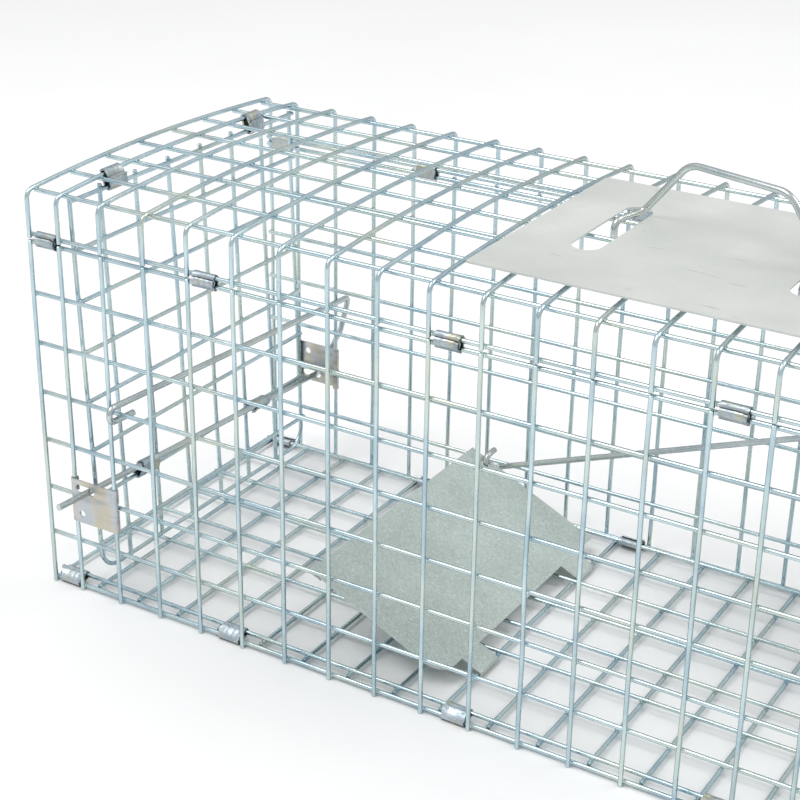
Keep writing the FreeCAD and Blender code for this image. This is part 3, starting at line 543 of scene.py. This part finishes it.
def door_wires(node):
    """Cross wires and uprights inside a bent edge wire, welded at every crossing."""
    door = DOORS[node]
    form = Form()
    place = door_place(door)
    out, across, up = (place.to_3x3() @ axis for axis in (X_AXIS, Y_AXIS, Z_AXIS))
    half, length = door["half"], door["length"]
    heights = [0.0] + [-ROW_START - row * ROW for row in range(DOOR_ROWS)]
    columns = [door["first"] + k * ROW for k in range(DOOR_COLUMNS)]

    def at(x, y, z):
        return place @ Vector((x, y, z))

    for z in heights:
        end = half + MESH_WIRE
        straight(form, at(0, -end, z), at(0, end, z), wave=0.0 if z == 0.0 else WAVE)
        for y in columns + [-half, half]:
            weld(form, at(-NEST / 2, y, z), across, up)
    for y in columns:
        straight(form, at(-NEST, y, -length), at(-NEST, y, DOOR_STUB))
        weld(form, at(-NEST, y, -length), across, out)
    corners = ((-half, MESH_WIRE), (-half, -length), (half, -length), (half, MESH_WIRE))
    edge = [at(-NEST, y, z) for y, z in corners]
    tube(form, divided(bent_path(edge, [DOOR_CORNER] * 2), STEP), MESH_WIRE)
    piece(node + "_wires", form, MESH_STEEL, node, node)


door_wires("rear_door")
door_wires("front_door")

# ---------------------------------------------------------------- bent wire forms
PIN_TILT = -3.0                   # degrees about the cage's length
PIN_START = Vector((-281.7, 0, 55.3)) * MM
FORM_SIDES = 16                   # sides of a bent wire's round section
FORM_STEP = 9.0 * MM              # length of a bent wire's segments


def wire_form(node, points, radii, place):
    """A bent wire given by its corner points in its own frame, in millimetres."""
    form = Form()
    path = bent_path([Vector(point) * MM for point in points], [radius * MM for radius in radii])
    tube(form, [place @ point for point in divided(path, FORM_STEP)], FORM_WIRE, sides=FORM_SIDES)
    piece(node + "_wire", form, FORM_STEEL, node, node)


def lock_pin():
    """Rod through both plates, knee on the far side, bail back to the near side and its hook."""
    tilt = Matrix.Rotation(math.radians(PIN_TILT), 4, "X")
    rod_end, far, near, hook_end = -123.8, 104.4, -106.2, -88.0
    knee_out, knee_up, inward, bail, drop = 14.0, 30.0, 18.7, 51.0, 43.6
    bend, knee_bend, hook_bend = 4.0, 16.0, 3.64
    points = [(0, rod_end, 0), (0, far, 0), (knee_out, far, knee_up), (inward, far, bail),
              (inward, near, bail), (inward, near, drop), (inward, hook_end, drop)]
    wire_form("lock_pin", points, [bend, knee_bend, bend, hook_bend, hook_bend],
              Matrix.Translation(PIN_START) @ tilt)


def trigger_rod():
    """Hook through the pan's hole, run along the far side, tip turned in under the front door."""
    pivot = Vector(JOINTS["rod_swing"]["pos_m"])
    low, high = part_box("trigger_rod")
    outward = (high.y - FORM_WIRE - pivot.y) / MM
    inward = (low.y - pivot.y) / MM
    tip_x = (high.x - FORM_WIRE - pivot.x) / MM
    tip_z = (high.z - FORM_WIRE - pivot.z) / MM
    end_side, above, below, bend = 10.0, 4.5, -7.0, 4.0
    points = [(0, end_side, above), (0, 0, above), (0, 0, below), (0, outward, below),
              (tip_x, outward, tip_z), (tip_x, inward, tip_z)]
    wire_form("trigger_rod", points, [bend] * 4, Matrix.Translation(pivot))


def carry_handle():
    """Grip with a rounded knee at both ends. Each leg ends in a hook over and under one roof wire."""
    joint = JOINTS["handle_swing"]
    axis = Vector(joint["axis"])
    span, leg, hook, tail, top, low, rise, lean = 50.06, 2.4, -17.0, 3.0, 5.6, -4.9, 33.3, 23.8
    bend, knee = 4.0, 12.0
    halves = [[(end * span, tail, low), (end * span, hook, low), (end * span, hook, top),
               (end * span, leg, top), (end * (span - lean), leg, rise)] for end in (-1, 1)]
    yaw = Matrix.Rotation(math.atan2(axis.y, axis.x), 4, "Z")
    wire_form("carry_handle", halves[0] + halves[1][::-1], [bend] * 3 + [knee] * 2 + [bend] * 3,
              Matrix.Translation(Vector(joint["pos_m"])) @ yaw)


lock_pin()
trigger_rod()
carry_handle()

# ---------------------------------------------------------------- folded clips
CLIP_LENGTH = 12.0 * MM
CLIP_WALL = 0.8 * MM
CLIP_AIR = 0.08 * MM              # gap between a clip and its wires


def fold_section(reach, bore):
    """Centre line of a strip folded round two wires: one end lapped over the other on the flat
    that faces +n, its lip curled outward."""
    radius = bore + CLIP_AIR + CLIP_WALL / 2
    middle = reach / 2
    lap = CLIP_WALL * 1.05
    turns = 10
    points = [(middle - 1.2 * MM, radius), (middle + 0.6 * MM, radius), (reach, radius)]
    points += [(reach + radius * math.sin(math.pi * k / turns), radius * math.cos(math.pi * k / turns))
               for k in range(1, turns + 1)]
    points += [(middle, -radius), (0.0, -radius)]
    points += [(-radius * math.sin(math.pi * k / turns), -radius * math.cos(math.pi * k / turns))
               for k in range(1, turns)]
    points += [(0.0, radius + lap * 0.4), (middle - 1.0 * MM, radius + lap)]
    points += [(middle + 0.8 * MM, radius + lap), (middle + 1.5 * MM, radius + lap * 1.6)]
    return points


CRIMPS = (-0.52, 0.12, 0.58)      # places of the plier marks, from -1 to 1 along a clip
CRIMP_WIDTH = 0.09
MOUTH = 0.24                      # how far a clip's open end flares, as a share of its size
MOUTH_START, MOUTH_REACH = 0.55, 0.45
END_FLARE = 0.05                  # flare that both ends have
RAGGED = 0.3 * MM                 # unevenness of the cut ends
STATIONS = 17                     # sections along a clip


def clip(form, start, reach, side, axis, bore):
    """One folded clip. start is the first wire's centre, reach the vector to the second wire,
    side the direction its seam faces, axis the wires' direction."""
    along = reach.normalized()
    section = fold_section(reach.length, bore)
    bite = rng.uniform(0.05, 0.10)
    mouth = rng.choice((-1, 1))
    twist = rng.uniform(-0.35, 0.35) * MM
    outer_rows, inner_rows = [], []
    for station in range(STATIONS):
        t = station / (STATIONS - 1) * 2 - 1
        flare = MOUTH * max(0.0, t * mouth - MOUTH_START) / MOUTH_REACH + END_FLARE * abs(t) ** 3
        crimp = bite * max(math.exp(-((t - place) / CRIMP_WIDTH) ** 2) for place in CRIMPS)
        outer, inner = [], []
        for index, (u, n) in enumerate(section):
            before = section[max(index - 1, 0)]
            after = section[min(index + 1, len(section) - 1)]
            run = Vector((after[0] - before[0], after[1] - before[1])).normalized()
            normal = Vector((-run.y, run.x))
            ragged = RAGGED * math.sin(index * 1.7) if abs(t) == 1 else 0.0
            shift = t * CLIP_LENGTH / 2 + ragged
            swell = 1.0 + flare - (crimp if n > 0 else 0.0)
            base = start + axis * shift + side * twist * t * 0.3
            for rows, offset in ((outer, CLIP_WALL / 2), (inner, -CLIP_WALL / 2)):
                point_u = u + normal.x * offset
                point_n = (n + normal.y * offset) * swell
                rows.append(base + along * point_u + side * point_n)
        outer_rows.append(form.ring(outer))
        inner_rows.append(form.ring(inner))
    form.grid(outer_rows)
    form.grid([row[::-1] for row in inner_rows])
    for first, second in ((outer_rows[0], inner_rows[0]), (inner_rows[-1], outer_rows[-1])):
        form.grid([second, first])
    for end in (0, -1):
        edge_outer = [row[end] for row in outer_rows]
        edge_inner = [row[end] for row in inner_rows]
        form.grid([edge_outer, edge_inner] if end == 0 else [edge_inner, edge_outer])


def clip_piece(name, node, clips, body="root"):
    """All the clips of one CAD node, as one piece."""
    form = Form()
    for start, reach, side, axis, bore in clips:
        clip(form, start, reach, side, axis, bore)
    piece(name, form, CLIP_STEEL, body, node, sharp=50.0)


def seam_clips():
    """Clips along the four seams, at the places where the CAD has them."""
    top_row = FOOT + (ROWS - 1) * ROW
    floor_edge = LONG_PLACES[-1]
    first, last, top_second, low_second, gap = 9.7 * MM, 593.9 * MM, 103.4 * MM, 111.3 * MM, 5 * PITCH
    tops = [first] + [top_second + k * gap for k in range(5)]
    lows = [first] + [low_second + k * gap for k in range(4)] + [last]
    for name, side in (("near", -1), ("far", 1)):
        outward = Y_AXIS * side
        wall = side * (HALF_WIDTH - NEST)
        rise = Vector((0, 0, FLANGE - top_row))
        upper = [(Vector((x - HALF_LENGTH, wall, top_row)), rise, outward, X_AXIS, MESH_WIRE) for x in tops]
        clip_piece(name + "_top_clip_set", name + "_top_clips", upper)
        run = Vector((0, side * floor_edge - wall, FLOOR_CROSS + NEST - FOOT))
        up = X_AXIS.cross(run).normalized()
        up = up if up.z > 0 else -up
        lower = [(Vector((x - HALF_LENGTH, wall, FOOT)), run, up, X_AXIS, MESH_WIRE) for x in lows]
        clip_piece(name + "_bottom_clip_set", name + "_bottom_clips", lower)


def hinge_clips(node, joint, outer_end, places):
    """Clips that hang a door's top wire from the roof cross wire above."""
    hinge = Vector(JOINTS[joint]["pos_m"])
    roof_x = outer_end * (HALF_LENGTH - END_CELL)
    lift = 0.3 * MM
    sets = []
    for y in places:
        run = Vector((roof_x - hinge.x, 0, crown_height(y) + lift - hinge.z))
        sets.append((Vector((hinge.x, y, hinge.z)), run, X_AXIS * -outer_end, Y_AXIS, MESH_WIRE))
    clip_piece(node + "_set", node, sets)


def pin_clips():
    """Clips that tie the lock pin's rod to a cross wire of the rear door."""
    door = DOORS["rear_door"]
    tied_row = 5
    row = door_place(door) @ Vector((0, 0, -ROW_START - tied_row * ROW))
    sets = []
    tilt = Matrix.Rotation(math.radians(PIN_TILT), 3, "X")
    for y in (-54.5 * MM, 45.2 * MM):
        rod = PIN_START + tilt @ Vector((0, y, 0))
        run = Vector((row.x - rod.x, 0, row.z - rod.z))
        face = run.cross(Y_AXIS).normalized()
        sets.append((rod, run, face if face.x > 0 else -face, tilt @ Y_AXIS, FORM_WIRE))
    clip_piece("pin_clip_set", "pin_clips", sets, body="rear_door")


seam_clips()
hinge_clips("rear_hinge_clips", "rear_door_swing", -1, (-58.5 * MM, 56.0 * MM))
hinge_clips("front_hinge_clips", "front_door_swing", 1, (-52.6 * MM, 52.6 * MM))
pin_clips()

# ---------------------------------------------------------------- sheet parts
SHEETS = {"near_lock_plate": LOCK_STEEL, "far_lock_plate": LOCK_STEEL, "guard_plate": GUARD_STEEL,
          "trigger_pan": PAN_STEEL, "rod_guide": CLIP_STEEL}
for node, steel in SHEETS.items():
    frame["nodes"][node].data.materials.clear()
    frame["nodes"][node].data.materials.append(steel)


# ---------------------------------------------------------------- stage, light and camera
def floor():
    """A wide pale sheet under the trap."""
    form = Form()
    reach, count = 30.0, 12
    marks = [reach * (2 * k / count - 1) for k in range(count + 1)]
    form.grid([form.ring([Vector((x, y, 0)) for x in marks]) for y in marks])
    mesh = bpy.data.meshes.new("studio_floor")
    mesh.from_pydata([tuple(point) for point in form.points], [], form.faces)
    shader = Shader("studio_floor")
    paper = shader.ramp(shader.noise(3.0, detail=2.0), [(0.3, (0.90, 0.90, 0.90)), (0.7, (0.93, 0.93, 0.93))])
    shader.finish(paper, shader.spread(shader.noise(40.0), 0.55, 0.65), metallic=0.0)
    mesh.materials.append(shader.material)
    item = bpy.data.objects.new("studio_floor", mesh)
    bpy.context.scene.collection.objects.link(item)


def area_light(name, place, target, size, power):
    """A round soft light that faces its target."""
    lamp = bpy.data.lights.new(name, "AREA")
    lamp.shape = "DISK"
    lamp.size = size
    lamp.energy = power
    item = bpy.data.objects.new(name, lamp)
    item.location = place
    item.rotation_euler = (Vector(target) - Vector(place)).to_track_quat("-Z", "Y").to_euler()
    bpy.context.scene.collection.objects.link(item)


def studio():
    """A pale sky that grows brighter upward, and two soft lights from above."""
    world = bpy.data.worlds.new("studio")
    bpy.context.scene.world = world
    world.use_nodes = True
    nodes, links = world.node_tree.nodes, world.node_tree.links
    place = nodes.new("ShaderNodeTexCoord")
    split = nodes.new("ShaderNodeSeparateXYZ")
    band = nodes.new("ShaderNodeValToRGB")
    band.color_ramp.elements[0].position = 0.0
    band.color_ramp.elements[0].color = (0.80, 0.82, 0.84, 1)
    band.color_ramp.elements[1].position = 0.75
    band.color_ramp.elements[1].color = (1, 1, 1, 1)
    links.new(place.outputs["Generated"], split.inputs["Vector"])
    links.new(split.outputs["Z"], band.inputs["Fac"])
    links.new(band.outputs["Color"], nodes["Background"].inputs["Color"])
    nodes["Background"].inputs["Strength"].default_value = 0.80
    area_light("key_light", (-0.8, -0.85, 2.2), (0, 0, 0.1), 1.2, 22.0)
    area_light("fill_light", (1.3, 0.8, 2.0), (0, 0, 0.1), 1.2, 16.0)


def camera():
    """Long lens from the near side, front end, looking down on the rear half of the cage."""
    place = Vector((0.2590, -0.6934, 0.4786))
    forward = Vector((-0.47122, 0.77526, -0.42062)).normalized()
    right = Vector((0.85117, 0.52471, 0.01354)).normalized()
    up = right.cross(forward).normalized()
    data = bpy.data.cameras.new("studio_camera")
    data.lens = 80.35
    data.sensor_width = 36.0
    item = bpy.data.objects.new("studio_camera", data)
    turn = Matrix((right, up, -forward)).transposed().to_4x4()
    item.matrix_world = Matrix.Translation(place) @ turn
    bpy.context.scene.collection.objects.link(item)
    bpy.context.scene.camera = item


floor()
studio()
camera()
bpy.context.scene.view_settings.view_transform = "Standard"
